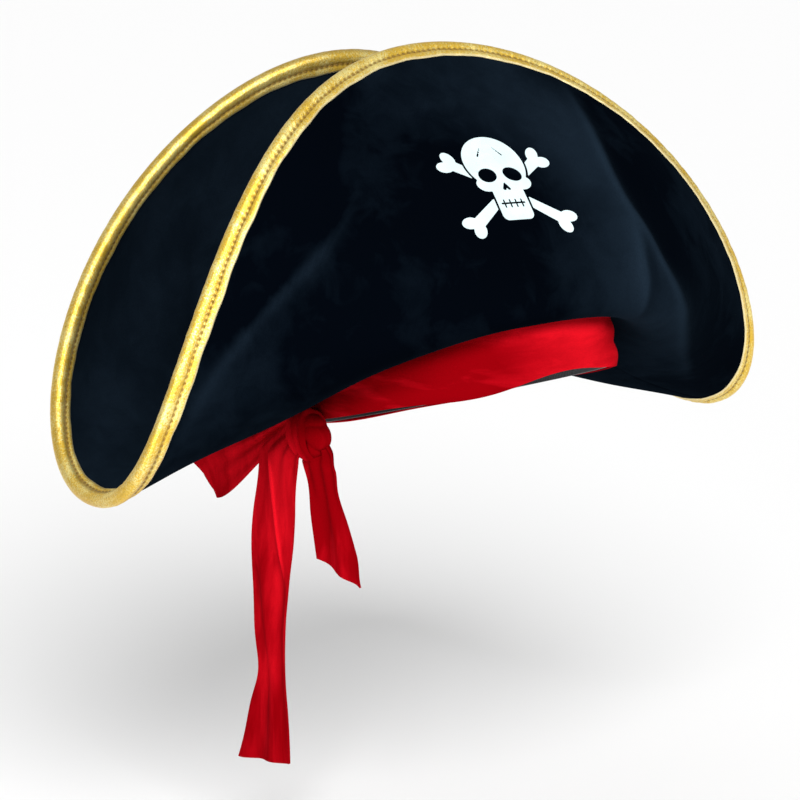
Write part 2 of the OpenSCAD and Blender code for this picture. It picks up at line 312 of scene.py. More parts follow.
def lame_look(name, gold, pale, shade, pitch):
    """Woven metal thread, laid along the cloth: worn pale at its hems, dimpled dark at its stitches."""
    look = Look(name)
    at = look.place(out="UV")
    along, across, _ = look.split(at)
    from_hem = 0.015 - abs(across - 0.015)
    weave = along.wave(0.0007) * 0.6 + across.wave(0.0006) * 0.4
    glint = look.noise(at, 900.0, 2.0, 0.7)
    drift = look.noise(at, 60.0, 3.0)
    tone = look.mix((glint * 0.6 + drift * 0.4).step(0.44, 0.60), gold, pale)
    tone = look.mix((look.noise(at, 1300.0, 1.0).step(0.56, 0.72) * 0.45 + weave * 0.15), tone, shade)
    dimple = along.wave(pitch) * 0.6 + 0.4
    groove = from_hem.step(0.0046, 0.0060) * (1 - from_hem.step(0.0074, 0.0088))
    tone = look.mix(groove * dimple * 0.9, tone, shade)
    tone = look.mix(from_hem.step(0.0118, 0.0145) * 0.35, tone, shade)
    tone = look.mix((1 - from_hem.step(0.0016, 0.0030)) * 0.7, tone, (1.0, 0.88, 0.54))
    folds = look.bump(drift, 0.3, 0.0012)
    normal = look.bump(weave * 0.7 + glint * 0.3, 0.45, 0.00025, folds)
    return look.finish(Base_Color=tone, Metallic=0.6 + 0.3 * glint, Roughness=0.28 + 0.2 * drift,
                       Normal=normal, Sheen_Weight=0.05, Sheen_Roughness=0.4)


def thread_look(name, tone, dark, metallic):
    """Twisted thread."""
    look = Look(name)
    at = look.place()
    x, y, z = look.split(at)
    twist = (x + y + z).wave(0.0006)
    shade = look.mix(twist * 0.45 + look.noise(at, 300.0) * 0.3, tone, dark)
    return look.finish(Base_Color=shade, Metallic=metallic, Roughness=0.62 - 0.15 * twist,
                       Normal=look.bump(twist, 0.4, 0.0002), Sheen_Weight=0.15)


def satin_look(name, tone):
    """Satin: long soft highlights over a fine twill line."""
    look = Look(name)
    at = look.place()
    x, y, z = look.split(at)
    twill = (x - y + 1.3 * z).wave(0.0009)
    waves = look.noise(look.place((1, 1, 0.35)), 38.0, 3.0)
    lit = tuple(min(1, c * 2.4) for c in tone)
    shade = look.mix(waves.step(0.35, 0.7), tone, lit)
    normal = look.bump(twill, 0.12, 0.0002, look.bump(waves, 0.3, 0.0015))
    return look.finish(Base_Color=shade, Roughness=0.34 + 0.12 * waves, Normal=normal,
                       Specular_IOR_Level=0.55, Sheen_Weight=0.1)


def tape_look(name, tone):
    """Ribbed tape with its ribs across the band and a soft edge."""
    look = Look(name)
    at = look.place(out="UV")
    along, _, _ = look.split(at)
    ribs = along.wave(0.0012)
    dust = look.noise(at, 160.0, 4.0)
    lit = tuple(c * 3.0 for c in tone)
    shade = look.mix(ribs * 0.45 + dust * 0.3, tone, lit)
    return look.finish(Base_Color=shade, Roughness=0.78 - 0.1 * dust,
                       Normal=look.bump(ribs, 0.5, 0.0004), Sheen_Weight=0.2)


def foam_look(name, tone):
    """Open-celled foam."""
    look = Look(name)
    at = look.place()
    cells = look.node("ShaderNodeTexVoronoi", {"feature": "F1"}, {"Vector": at, "Scale": 1100.0})
    shade = look.mix(cells.step(0.1, 0.7), tuple(c * 0.4 for c in tone), tone)
    return look.finish(Base_Color=shade, Roughness=0.92 - 0.1 * cells, Normal=look.bump(cells, 0.6, 0.0006),
                       Sheen_Weight=0.1)


def ink_look(name, ink):
    """Flat ink pressed into velvet: faint cloth grain, with specks where the cloth shows through."""
    look = Look(name)
    at = look.place()
    grain = look.noise(at, 1500.0, 2.0)
    cloud = look.noise(at, 55.0, 4.0, 0.6)
    worn = look.noise(at, 420.0, 5.0, 0.75).step(0.66, 0.72)
    tone = look.mix(cloud.step(0.35, 0.7), ink, tuple(c * 0.88 for c in ink))
    tone = look.mix(worn * 0.8, tone, (0.10, 0.12, 0.14))
    return look.finish(Base_Color=tone, Roughness=0.55 + 0.2 * grain,
                       Normal=look.bump(grain * 0.6 + cloud * 0.4, 0.35, 0.0004), Specular_IOR_Level=0.35)


def floor_look(name, tone):
    """Plain pale paper with the faintest grain."""
    look = Look(name)
    grain = look.noise(look.place(), 30.0, 3.0)
    shade = look.mix(grain * 0.05, tone, tuple(c * 0.96 for c in tone))
    return look.finish(Base_Color=shade, Roughness=0.9, Specular_IOR_Level=0.1)


LOOKS = {
    "velvet": lambda c: velvet_look("black_crushed_velvet", c.velvet, c.velvet_lit, 0.24, (1, 1, 0.8), 0.016,
                                    (0.38, 0.66, 1.0), 0.9),
    "red": lambda c: velvet_look("red_crushed_velvet", c.red, c.red_lit, 0.75, (1.3, 1.3, 0.3), 0.05,
                                 (1.0, 0.06, 0.10), 0.85),
    "red_band": lambda c: velvet_look("red_crushed_velvet_band", c.red, c.red_lit, 0.6, (0.5, 0.5, 2.4), 0.05,
                                      (1.0, 0.06, 0.10), 0.85),
    "gold": lambda c: lame_look("gold_lame", c.gold, c.gold_pale, c.gold_shade, sizes().stitch_pitch),
    "gold_thread": lambda c: thread_look("gold_thread", c.gold_thread, (0.16, 0.08, 0.01), 0.35),
    "black_thread": lambda c: thread_look("black_thread", (0.02, 0.02, 0.025), (0.004, 0.004, 0.005), 0.0),
    "satin": lambda c: satin_look("satin_lining", c.satin),
    "tape": lambda c: tape_look("ribbed_tape", c.tape),
    "foam": lambda c: foam_look("brim_foam", c.foam),
    "ink": lambda c: ink_look("white_ink", c.ink),
    "floor": lambda c: floor_look("pale_floor", c.floor),
}
_made = {}


def look(name):
    if name not in _made:
        _made[name] = LOOKS[name](colours())
    return _made[name]


# ---- mesh helpers

def to_row(p):
    """Points of the hat's own frame, in millimetres, put in the row frame in metres."""
    tilt = sizes().hat_tilt
    c, s = cos(tilt), sin(tilt)
    x, y, z = np.moveaxis(p, -1, 0)
    return MM * vec(x, y * c + z * s, -y * s + z * c)


def get_verts(bm):
    return np.array([v.co for v in bm.verts])


def move_verts(bm, points):
    for v, p in zip(bm.verts, points):
        v.co = p


def add_object(name, data):
    obj = bpy.data.objects.new(name, data)
    bpy.context.scene.collection.objects.link(obj)
    return obj


def new_object(name, bm, finish):
    mesh = bpy.data.meshes.new(name)
    bm.to_mesh(mesh)
    bm.free()
    mesh.materials.append(look(finish))
    return add_object(name, mesh)


def settle(obj, crisp=50):
    """Applies the modifiers, then shades the piece smooth apart from its crisp edges."""
    if obj.modifiers:
        bpy.context.view_layer.update()
        final = bpy.data.meshes.new_from_object(obj.evaluated_get(bpy.context.evaluated_depsgraph_get()))
        obj.modifiers.clear()
        obj.data = final
        final.name = obj.name
    bm = bmesh.new()
    bm.from_mesh(obj.data)
    for f in bm.faces:
        f.smooth = True
    crisp = float(radians(crisp))
    for e in bm.edges:
        e.smooth = e.calc_face_angle(0) < crisp
    bm.to_mesh(obj.data)
    bm.free()
    return obj


def sheet_grid(name, counts, place, finish, cloth=(1, 1), closed=False, nap=None):
    """A grid of faces whose shares (x, y) of the sheet go to place(x, y), in metres.

    Its UV map is in metres of cloth. nap(x, y) says how far the pile stands up, above or below the usual.
    """
    bm = bmesh.new()
    bmesh.ops.create_grid(bm, x_segments=counts[0], y_segments=counts[1], size=0.5)
    share = get_verts(bm)[:, :2] + 0.5
    across, up = share.T
    bm.verts.index_update()
    uv = bm.loops.layers.uv.new("cloth")
    for face in bm.faces:
        for loop in face.loops:
            x, y = share[loop.vert.index]
            loop[uv].uv = (x * cloth[0], y * cloth[1])
    if nap:
        stands = bm.verts.layers.float.new("nap")
        for v, value in zip(bm.verts, nap(across, up)):
            v[stands] = value
    move_verts(bm, place(across, up))
    if closed:
        bmesh.ops.remove_doubles(bm, verts=bm.verts, dist=1e-6)
    return new_object(name, bm, finish)


def thicken(obj, thickness, offset=0.0):
    wall = obj.modifiers.new("wall", "SOLIDIFY")
    wall.thickness = thickness
    wall.offset = offset
    wall.use_even_offset = False
    return settle(obj)


def thread_rows(name, finish, spots):
    """Many small round-ended threads in one piece. A spot is a centre, its three directions and its size."""
    one = bmesh.new()
    bmesh.ops.create_uvsphere(one, u_segments=6, v_segments=4, radius=0.5)
    stitch = bpy.data.meshes.new("stitch")
    one.to_mesh(stitch)
    one.free()
    bm = bmesh.new()
    for centre, axes, size in spots:
        turn = Matrix(axes).transposed().to_4x4()
        part = stitch.copy()
        part.transform(Matrix.Translation(centre) @ turn @ Matrix.Diagonal((*size, 1)))
        bm.from_mesh(part, face_normals=False, vertex_normals=False)
        bpy.data.meshes.remove(part)
    bpy.data.meshes.remove(stitch)
    return settle(new_object(name, bm, finish))


# ---- the brim's surface

class Brim:
    """The brim's middle surface in the hat's own frame, in millimetres.

    t runs round the head in degrees, with 270 at the front. u runs from the seam, 0, to the edge, 1.
    """

    seam_z = 30
    seam_grow = 5            # the seam lies this far outside the head oval
    # Soft creases: a path of (t, u) points, its height, how far it falls away on its left and right,
    # how much its nap shines and how far the shine reaches on its left.
    creases = (
        (((287.5, .96), (287, .84), (287.5, .70), (289, .56), (297, .42), (312, .40), (329, .48), (346, .72)),
         7.5, 24, 7, 0.75, 20),
        (((289, .56), (291, .42), (295, .28), (300, .15)), 3.2, 10, 8, 0.45, 20),
        (((200, .935), (210, .925), (217.5, .91), (223, .87), (229, .825), (235, .78), (240, .757),
          (245, .76), (250, .79)), 3.4, 14, 8, 0.25, 8),
        (((256, .95), (251, .89), (247, .84), (242, .76)), -1.8, 7, 7, -0.2, 20),
        (((262, .30), (252, .38), (240, .50), (228, .58)), 1.4, 14, 14, 0.0, 20),
        (((72, .94), (72, .80), (71, .66), (67, .52), (56, .42), (40, .44)), 4.5, 8, 20, 0.5, 20),
        (((112, .92), (110, .74), (116, .56), (128, .46), (142, .42)), 3.2, 18, 9, 0.3, 20),
    )
    # Patches of pile that stands or lies: middle (t, u), reach in t and in u, and by how much.
    patches = ((258, .35, 24, .3, -0.14), (245, .87, 9, .25, -0.20), (305, .2, 22, .25, 0.20),
               (282, .68, 5, .2, 0.24))

    def __init__(self, s):
        self.a = mm(s.head_width) / 2
        self.b = mm(s.head_length) / 2
        self.span = mm(s.brim_span) / 2
        self.foam = mm(s.foam_thickness)
        self.facing = mm(s.facing_thickness)
        gap = 0.1
        self.facing_mid = self.foam / 2 + gap + self.facing / 2
        self.face = self.foam / 2 + gap + self.facing

    def oval(self, t, grow, z):
        return vec((self.a + grow) * cosd(t), (self.b + grow) * sind(t), z)

    def edge(self, t):
        return vec(
            self.span * (cosd(t) - 0.08 * cosd(3 * t) - 0.01 * cosd(5 * t)) / 0.91,
            25 + 12.5 * cosd(2 * t) - 3.8 * cosd(4 * t)
            + 65.5 * sind(t) + 21 * sind(3 * t) - 6.6 * sind(5 * t),
            74 - 110 * cosd(2 * t) + 10 * cosd(4 * t) + 3.3 * cosd(6 * t) + 6 * sind(t))

    def seam(self, t):
        return self.oval(t, self.seam_grow, self.seam_z)

    def roll(self, t):
        out = 31 - 7 * cosd(t) ** 2
        return self.seam(t) + vec(out * cosd(t), out * sind(t), -(16 + 10 * cosd(t) ** 2))

    def reach(self, t):
        return 80 - 28 * cosd(t) ** 2

    def lean(self, t):
        """Direction from the edge back into the panel."""
        return unit(vec(-cosd(t) * abs(cosd(t)), 0.56 * sind(t), 0.30 * cosd(t) ** 2 - 0.83 * sind(t) ** 2))

    def plain(self, t, u):
        t, u = np.broadcast_arrays(np.asarray(t, float), np.asarray(u, float))
        hold = self.edge(t) + col(self.reach(t)) * self.lean(t)
        u = col(u)
        return ((1 - u) ** 3 * self.seam(t) + 3 * u * (1 - u) ** 2 * self.roll(t)
                + 3 * u * u * (1 - u) * hold + u ** 3 * self.edge(t))

    def normal(self, t, u):
        """Points to the outer face, which shows on the hat's outside."""
        along = self.plain(t + 1, u) - self.plain(t - 1, u)
        across = self.plain(t, u + 0.01) - self.plain(t, u - 0.01)
        return unit(np.cross(along, across))

    def crease(self, at, path):
        """Distance from a crease, how far on its left each point lies (0 to 1), and its strength there."""
        line = smooth_path(path, 70, 15)
        spots = self.plain(line[:, 0], line[:, 1])
        gap = at[:, None, :] - spots[None, :, :]
        near = norm(gap).argmin(axis=1)
        gap = gap[np.arange(len(at)), near]
        way = np.gradient(spots, axis=0)[near]
        run = np.clip((gap * way).sum(axis=-1) / (way * way).sum(axis=-1), -0.5, 0.5)
        gap = gap - col(run) * way
        side = (np.cross(unit(way), gap) * self.normal(line[:, 0], line[:, 1])[near]).sum(axis=-1)
        taper = sin(pi * (near + run + 1) / (len(line) + 1)) ** 0.8
        return norm(gap), ease(0.5 - side / 6), taper

    def drape(self, t, u):
        """How far the soft brim swells out of its plain shape, by its creases and slow waves."""
        at = self.plain(t, u)
        swell = 0.45 * sin(at @ (0.045, 0.02, 0.10)) + 0.4 * sin(at @ (-0.06, 0.05, 0.035) + 1.3)
        for path, height, left, right, _, _ in self.creases:
            away, on_left, taper = self.crease(at, path)
            round_top = np.sqrt(away ** 2 + 3.0 ** 2) - 3.0
            swell = swell + height * taper * exp(-round_top / (right + (left - right) * on_left))
        inside = ease(u / 0.22) * ease((0.985 - u) / 0.10) * ease(abs(sind(t)) / 0.16)
        return swell * inside

    def nap(self, t, u):
        """How far the pile stands up: bright along the creases, pressed on their lee side."""
        at = self.plain(t, u)
        stands = 0.06 * sin(at @ (0.03, 0.01, 0.05) + 0.5) - 0.02
        stands = stands + 0.28 * bell(t - 277, 12) * ease((u - 0.5) / 0.4) + 0.12 * ease(sind(t) / 0.3)
        for t0, u0, wide, high, by in self.patches:
            stands = stands + by * bell(t - t0, wide) * bell(u - u0, high)
        for path, _, _, _, shine, reach in self.creases:
            away, on_left, taper = self.crease(at, path)
            glow = on_left * 0.95 * exp(-away / reach) - (1 - on_left) * 0.5 * exp(-away / 30)
            stands = stands + shine * taper * (0.8 * bell(away, 3.4) + glow)
        return stands

    def place(self, t, u, h):
        """Points of the draped surface, h outside its middle, in the row frame in metres."""
        t, u = np.asarray(t, float), np.asarray(u, float)
        return to_row(self.plain(t, u) + col(self.drape(t, u) + h) * self.normal(t, u))

    def share_of_edge(self, n=3600):
        """Angles t and, at each, the share of the edge's length that lies before it; and that length."""
        t = np.linspace(0, 360, n + 1)
        step = norm(np.diff(self.edge(t), axis=0))
        run = np.concatenate([[0], np.cumsum(step)])
        return t, run / run[-1], run[-1]


def panel(name, half, side, finish):
    """One facing, or the foam with side 0, of the front or the back half of the brim."""
    brim = Brim(sizes())
    thick = brim.facing if side else brim.foam
    ends = 1.4               # millimetres over which the cloth turns in at a side seam

    def place(x, y):
        t = half[0] + (half[1] - half[0]) * x
        from_end = minimum(x, 1 - x) * 180 * 2.2 * (0.6 + y)
        tuck = 0.5 * exp(-from_end / ends) if side else 0
        h = side * (brim.facing_mid - tuck)
        return brim.place(t, y, h)

    def nap(x, y):
        return brim.nap(half[0] + (half[1] - half[0]) * x, y) if side > 0 else 0.30 + 0 * x

    return thicken(sheet_grid(name, (380, 84), place, finish, cloth=(0.6, 0.18), nap=nap), thick * MM)


# ---- pieces

class Maker(bpy.types.Operator):
    """Shared by the operators that build the hat"""
    bl_options = {"REGISTER", "UNDO"}

    def __init_subclass__(cls, label):
        cls.bl_idname = cls.__name__.lower().replace("_ot_", ".")
        cls.bl_label = label

    def execute(self, context):
        self.build(context.scene.hat_sizes)
        return {"FINISHED"}


def stand_in(obj, node):
    """Fixes a piece to the hat's body in place of a node."""
    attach(obj, "hat")
    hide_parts(node)


class HAT_OT_brim_facings(Maker, label="Brim facings"):
    """Builds the four velvet facings of the brim"""

    def build(self, s):
        for half_name, half in HALVES:
            for face_name, side in (("outer", 1), ("inner", -1)):
                obj = panel(f"{half_name}_facing_{face_name}", half, side, "velvet")
                stand_in(obj, f"{half_name}_brim_{face_name}")


class HAT_OT_brim_foam(Maker, label="Brim foam"):
    """Builds the foam inside the front and back halves of the brim"""

    def build(self, s):
        for half_name, half in HALVES:
            obj = panel(f"{half_name}_foam", half, 0, "foam")
            stand_in(obj, f"{half_name}_brim_core")


GROOVE = (4.9, 2.78)         # the stitches' line: in from the edge, and off the brim's middle


class HAT_OT_binding(Maker, label="Gold binding"):
    """Builds the gold binding, two soft rolls folded over the brim's edge"""
    # Half of the section: distance in from the edge, and height off the brim's middle.
    section = ((9.5, 2.62), (9.55, 2.95), (8.9, 3.45), (7.6, 3.85), (6.3, 3.65), (5.4, 3.0), (4.9, 2.78),
               (4.4, 3.0), (3.5, 3.8), (1.9, 4.25), (0.3, 4.0), (-1.1, 3.05), (-2.0, 1.6))

    def build(self, s):
        brim = Brim(s)
        ts, shares, run = brim.share_of_edge()
        tip = (-2.3, 0.0)
        half = list(self.section)
        line = smooth_path([*half, tip, *[(a, -h) for a, h in reversed(half)]], 31, 3)
        line[:, 0] *= np.where(line[:, 0] > 0, mm(s.binding_width) / self.section[0][0], 1)
        pitch = mm(s.stitch_pitch)

        def place(x, y):
            t = np.interp(x, shares, ts)
            at = x * run
            a, h = (np.interp(y * (len(line) - 1), range(len(line)), c) for c in line.T)
            groove = bell(a - GROOVE[0], 2.2) * np.sign(h)
            lump = (0.16 * sin(at * 2 * pi / 11.3) + 0.14 * sin(at * 2 * pi / 17.9 + 2)
                    + 0.12 * sin(at * 2 * pi / 6.1 + 4 * y))
            waver = 0.25 * sin(at * 2 * pi / 53 + 1) + 0.2 * sin(at * 2 * pi / 23)
            h = h * (1 + 0.10 * lump) + 0.16 * groove * cos(at * 2 * pi / pitch)
            a = a + waver * ease((a - 2) / 7) + 0.3 * lump * (a < 0)
            u = 1 - maximum(a, 0) / (3 * brim.reach(t))
            points = brim.plain(t, u) + col(h) * brim.normal(t, u)
            return to_row(points - col(minimum(a, 0)) * unit(-brim.lean(t)))

        count = round(run / 1.05)
        obj = sheet_grid("gold_binding", (count, len(line) - 1), place, "gold", cloth=(run * MM, 0.03),
                         closed=True)
        lowest = min(obj.data.polygons, key=lambda f: f.center.z)
        faces_brim = lowest.normal.z > 0
        thicken(obj, 0.3 * MM, 1.0 if faces_brim else -1.0)
        stand_in(obj, "edge_binding")


class HAT_OT_binding_stitches(Maker, label="Binding stitches"):
    """Builds the stitches along the binding's groove, on both faces"""

    def build(self, s):
        brim = Brim(s)
        chance = random.Random(s.seed)
        ts, shares, run = brim.share_of_edge()
        count = round(run / mm(s.stitch_pitch))
        t = np.interp((np.arange(count) + 0.5) / count, shares, ts)
        u = 1 - GROOVE[0] / (3 * brim.reach(t))
        along = unit(to_row(brim.plain(t + 0.2, u)) - to_row(brim.plain(t - 0.2, u)))
        spots = []
        for side in (1, -1):
            normal = brim.normal(t, u)
            middle = to_row(brim.plain(t, u) + (side * GROOVE[1]) * normal)
            up = unit(to_row(normal)) * side
            for p, x, z in zip(middle, along, up):
                x, z = Vector(x), Vector(z)
                y = z.cross(x).normalized()
                x = (x + y * chance.uniform(-0.16, 0.16)).normalized()
                z = x.cross(y).normalized()
                spots.append((p, (x, z.cross(x), z), (2.4 * MM, 0.8 * MM, 0.7 * MM)))
        stand_in(thread_rows("binding_stitch_rows", "gold_thread", spots), "binding_stitches")


TOP_SEAM = 52                # height angle of the seam round the crown's top piece, in degrees


def dome(label, grow, finish, thick, wrinkle, pieces):
    """A dome over the head in two pieces. grow is how far it stands outside the head oval."""
    brim = Brim(sizes())
    high = mm(sizes().crown_height)
    for part, node, (g0, g1), counts, cloth, flat, area in pieces:
        def place(x, y):
            t, g = 360 * x, g0 + (g1 - g0) * y
            k = np.clip(cosd(g), 0, 1) ** 1.05
            off = grow + wrinkle(t, g)
            round_head = col(k) * vec((brim.a + off) * cosd(t), (brim.b + off) * sind(t), 0)
            return to_row(round_head + vec(0, 0, brim.seam_z + 0.6 + (high + off) * sind(g)))

        obj = thicken(sheet_grid(f"{label}_{part}", counts, place, finish, cloth, closed=True), thick * MM)
        stand_in(obj, node)


class HAT_OT_crown(Maker, label="Crown"):
    """Builds the crown's side wall and its top piece"""

    def build(self, s):
        def soft(t, g):
            ripple = (0.5 * sin(radians(5 * t + 40) + 0.09 * g)
                      + 0.4 * sin(radians(9 * t) - 0.05 * g))
            return ripple * ease(g / 25) - 0.7 * exp(-abs(g - TOP_SEAM) / 1.2)

        dome("crown", 3.0, "velvet", 1.2, soft, (
            ("wall", "crown_side", (-1.9, TOP_SEAM), (200, 50), (0.56, 0.10), (0.11, 0.58), 0.042),
            ("cap", "crown_top", (TOP_SEAM, 90), (160, 30), (0.4, 0.06), (0.115, 0.14), 0.0108)))


class HAT_OT_lining(Maker, label="Lining"):
    """Builds the satin lining, gathered a little where it meets its top piece"""

    def build(self, s):
        def gathered(t, g):
            pleats = abs(sind(14 * t + 20 * sind(3 * t)))
            return -1.1 * pleats * ease((g - 12) / 45) - 0.3 * exp(-abs(g - TOP_SEAM) / 1.5)

        dome("lining", 1.9, "satin", 0.5, gathered, (
            ("wall", "lining_side", (0, TOP_SEAM), (280, 40), (0.54, 0.10), (0.11, 0.56), 0.040),
            ("cap", "lining_top", (TOP_SEAM, 90), (224, 24), (0.4, 0.06), (0.115, 0.14), 0.0111)))


class HAT_OT_sweatband(Maker, label="Sweatband"):
    """Builds the ribbed tape inside the opening and its row of stitches"""

    def build(self, s):
        brim = Brim(s)

        def place(x, y):
            edge = exp(-minimum(y, 1 - y) * 28 / 0.9)
            return to_row(brim.oval(360 * x, 0.7 - 0.35 * edge, 1 + 28 * y))

        obj = sheet_grid("sweatband_tape", (240, 28), place, "tape", (0.56, 0.028), closed=True)
        thicken(obj, 1.0 * MM)
        count = 190
        spots = []
        for t in np.arange(count) * 360 / count:
            p = to_row(brim.oval(t, 0.12, 4.0))
            x = Vector(unit(to_row(brim.oval(t + 1, 0.12, 4.0)) - p))
            y = Vector(unit(to_row(vec(0, 0, 1.0))))
            spots.append((p, (x, y, x.cross(y)), (2.1 * MM, 0.5 * MM, 0.4 * MM)))
        rows = thread_rows("sweatband_stitches", "black_thread", spots)
        stand_in(obj, "sweatband")
        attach(rows, "hat")


class HAT_OT_tacks(Maker, label="Tacks"):
    """Gives the hidden thread tacks their thread"""

    def build(self, s):
        for node in ("front_tacks", "back_tacks"):
            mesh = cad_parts[node].data
            mesh.materials.clear()
            mesh.materials.append(look("black_thread"))


# ---- printed emblem

def disc(p, x, y, rx, ry=None, turn=0):
    """Below 0 inside an ellipse."""
    ry = ry or rx
    c, s = cosd(turn), sind(turn)
    dx, dy = p[:, 0] - x, p[:, 1] - y
    return (np.hypot((c * dx + s * dy) / rx, (c * dy - s * dx) / ry) - 1) * min(rx, ry)


def bar(p, start, end, r0, r1):
    """Below 0 inside a round-ended bar whose radius goes from r0 to r1."""
    start, way = np.array(start), np.subtract(end, start)
    share = np.clip((p - start) @ way / (way @ way), 0, 1)
    return norm(p - start - col(share) * way) - (r0 + (r1 - r0) * share)


def block(p, x, y, wide, high, r):
    """Below 0 inside a block with corners of radius r."""
    q = abs(p - (x, y)) - (wide - r, high - r)
    return norm(maximum(q, 0)) + minimum(q.max(axis=-1), 0) - r


def skull_outline(p):
    """Cranium, temples, cheekbones and jaw, in skull heights."""
    shapes = [disc(p, 0, 0.17, 0.315, 0.325), disc(p, 0, 0.03, 0.27, 0.22),
              block(p, 0, -0.28, 0.165, 0.19, 0.06)]
    shapes += [disc(p, side * 0.205, -0.075, 0.09, 0.07, side * 25) for side in (-1, 1)]
    return minimum.reduce(shapes)


def skull_gaps(p):
    """Eye sockets, nose, cheeks, a crack on each side and lines between the teeth."""
    shapes = [bar(p, (-0.12, -0.29), (0.12, -0.29), 0.010, 0.010)]
    for side in (-1, 1):
        shapes += [disc(p, side * 0.135, 0.035, 0.098, 0.082, side * -16),
                   bar(p, (0, -0.07), (side * 0.024, -0.13), 0.010, 0.018),
                   disc(p, side * 0.195, -0.235, 0.026, 0.05, side * 8),
                   bar(p, (side * 0.07, 0.36), (side * 0.13, 0.27), 0.006, 0.009)]
    for x in (-0.093, -0.031, 0.031, 0.093):
        shapes.append(bar(p, (x, -0.255), (x, -0.33), 0.009, 0.009))
    return minimum.reduce(shapes)


def skull(p):
    return maximum(skull_outline(p), -skull_gaps(p))


def bone(p, turn):
    """A waisted shaft with two knuckles at each end."""
    q = (p - (0, -0.15)) @ np.array([[cosd(turn), -sind(turn)], [sind(turn), cosd(turn)]])
    q = abs(q)
    return minimum(bar(q, (0, 0), (0.56, 0), 0.040, 0.060), disc(q, 0.61, 0.058, 0.085, 0.062, 30))


def crossbones(p):
    """Two bones, open where the skull lies over them with a narrow gap round it."""
    return maximum(minimum(bone(p, 36), bone(p, -37)), 0.024 - skull_outline(p))


class Print:
    """Carries the flat emblem, drawn in skull heights about its middle, to the front panel."""

    t0, u0, turn = 269, 0.63, radians(-4)
    thick = 0.22
    reach = 0.76
    pitch = 0.0078

    def __init__(self, s):
        self.brim = Brim(s)
        self.h = mm(s.skull_height)
        self.middle = self.brim.plain(self.t0, self.u0)
        z = self.brim.normal(self.t0, self.u0)
        y = unit(np.cross(z, (1, 0, 0)))
        x = np.cross(y, z)
        c, s_ = cos(self.turn), sin(self.turn)
        self.x, self.y = c * x + s_ * y, c * y - s_ * x

    def find(self, flat):
        """The (t, u) under each flat point, by Newton steps on the plain surface."""
        t = np.full(len(flat), float(self.t0))
        u = np.full(len(flat), self.u0)

        def shadow(t, u):
            away = self.brim.plain(t, u) - self.middle
            return np.stack([away @ self.x, away @ self.y], axis=-1)

        def cross(a, b):
            return a[:, 0] * b[:, 1] - a[:, 1] * b[:, 0]

        for _ in range(6):
            now = shadow(t, u)
            by_t = (shadow(t + 0.1, u) - now) / 0.1
            by_u = (shadow(t, u + 0.001) - now) / 0.001
            miss = flat - now
            area = cross(by_t, by_u)
            t = t + cross(miss, by_u) / area
            u = u + cross(by_t, miss) / area
        return t, u

    def to_outline(self, p, shape):
        """Moves points that lie near the outline onto it."""
        for _ in range(5):
            value = shape(p)
            slope = np.stack([shape(p + d) - value for d in ((1e-4, 0), (0, 1e-4))], axis=-1) / 1e-4
            step = np.clip(value / maximum((slope ** 2).sum(axis=-1), 0.05), -self.pitch, self.pitch)
            p = p - col(step) * slope
        return p

    def lay(self, name, shape):
        """The part of a fine grid inside the shape, with its edge on the outline, laid on the panel."""
        bm = bmesh.new()
        count = round(2 * self.reach / self.pitch)
        bmesh.ops.create_grid(bm, x_segments=count, y_segments=count, size=self.reach)
        rim = -0.3 * self.pitch
        inside = shape(get_verts(bm)[:, :2]) < rim
        outside = [f for f in bm.faces if not any(inside[v.index] for v in f.verts)]
        bmesh.ops.delete(bm, geom=outside, context="FACES")
        flat = get_verts(bm)[:, :2]
        loose = shape(flat) >= rim
        flat[loose] = self.to_outline(flat[loose], shape)
        t, u = self.find(flat * self.h)
        move_verts(bm, self.brim.place(t, u, self.brim.face + 0.06 + self.thick))
        obj = new_object(name, bm, "ink")
        looks_out = sum(f.normal.y * f.area for f in obj.data.polygons) < 0
        return thicken(obj, self.thick * MM, -1.0 if looks_out else 1.0)


class HAT_OT_print(Maker, label="Printed emblem"):
    """Builds the printed skull and crossbones on the front panel"""

    def build(self, s):
        emblem = Print(s)
        for name, shape, node in (("skull_ink", skull, "skull_print"),
                                  ("crossbones_ink", crossbones, "crossbones_print")):
            stand_in(emblem.lay(name, shape), node)


# ---- sash

def dress_ribbon(node):
    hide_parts(node)


class HAT_OT_sash_band(Maker, label="Sash band"):
    """Builds the sash round the head, with soft folds along it"""

    def build(self, s):
        brim = Brim(s)
        wide = mm(s.sash_width)

        def place(x, y):
            t = 360 * x
            drift = 0.10 * sind(2 * t + 30) + 0.05 * sind(5 * t)
            folds = 1.2 * abs(sin(pi * (2.1 * y + drift))) ** 1.4
            waves = 0.35 * sind(11 * t + 120 * y) + 0.25 * sind(17 * t - 200 * y)
            roll = -0.8 * exp(-y * wide / 1.2)
            low = 0.9 * sind(3 * t + 60) + 0.5 * sind(7 * t) - 6.5 * bell(t - 234, 26)
            z = low * (1 - y) + 0.6 + (wide - 0.6) * y
            return to_row(brim.oval(t, 2.7 + folds + waves + roll, z))

        def nap(x, y):
            t = 360 * x
            lit = 0.75 * bell(t - 284, 24) - 0.2 * bell(t - 222, 20)
            return lit + 0.12 * (y - 0.5)

        obj = sheet_grid("sash_round_head", (420, 44), place, "red_band", (0.57, 0.026), closed=True, nap=nap)
        thicken(obj, s.ribbon_thickness)
        stand_in(obj, "sash_band")


KNOT = (-92.0, 3.0, -8.0)


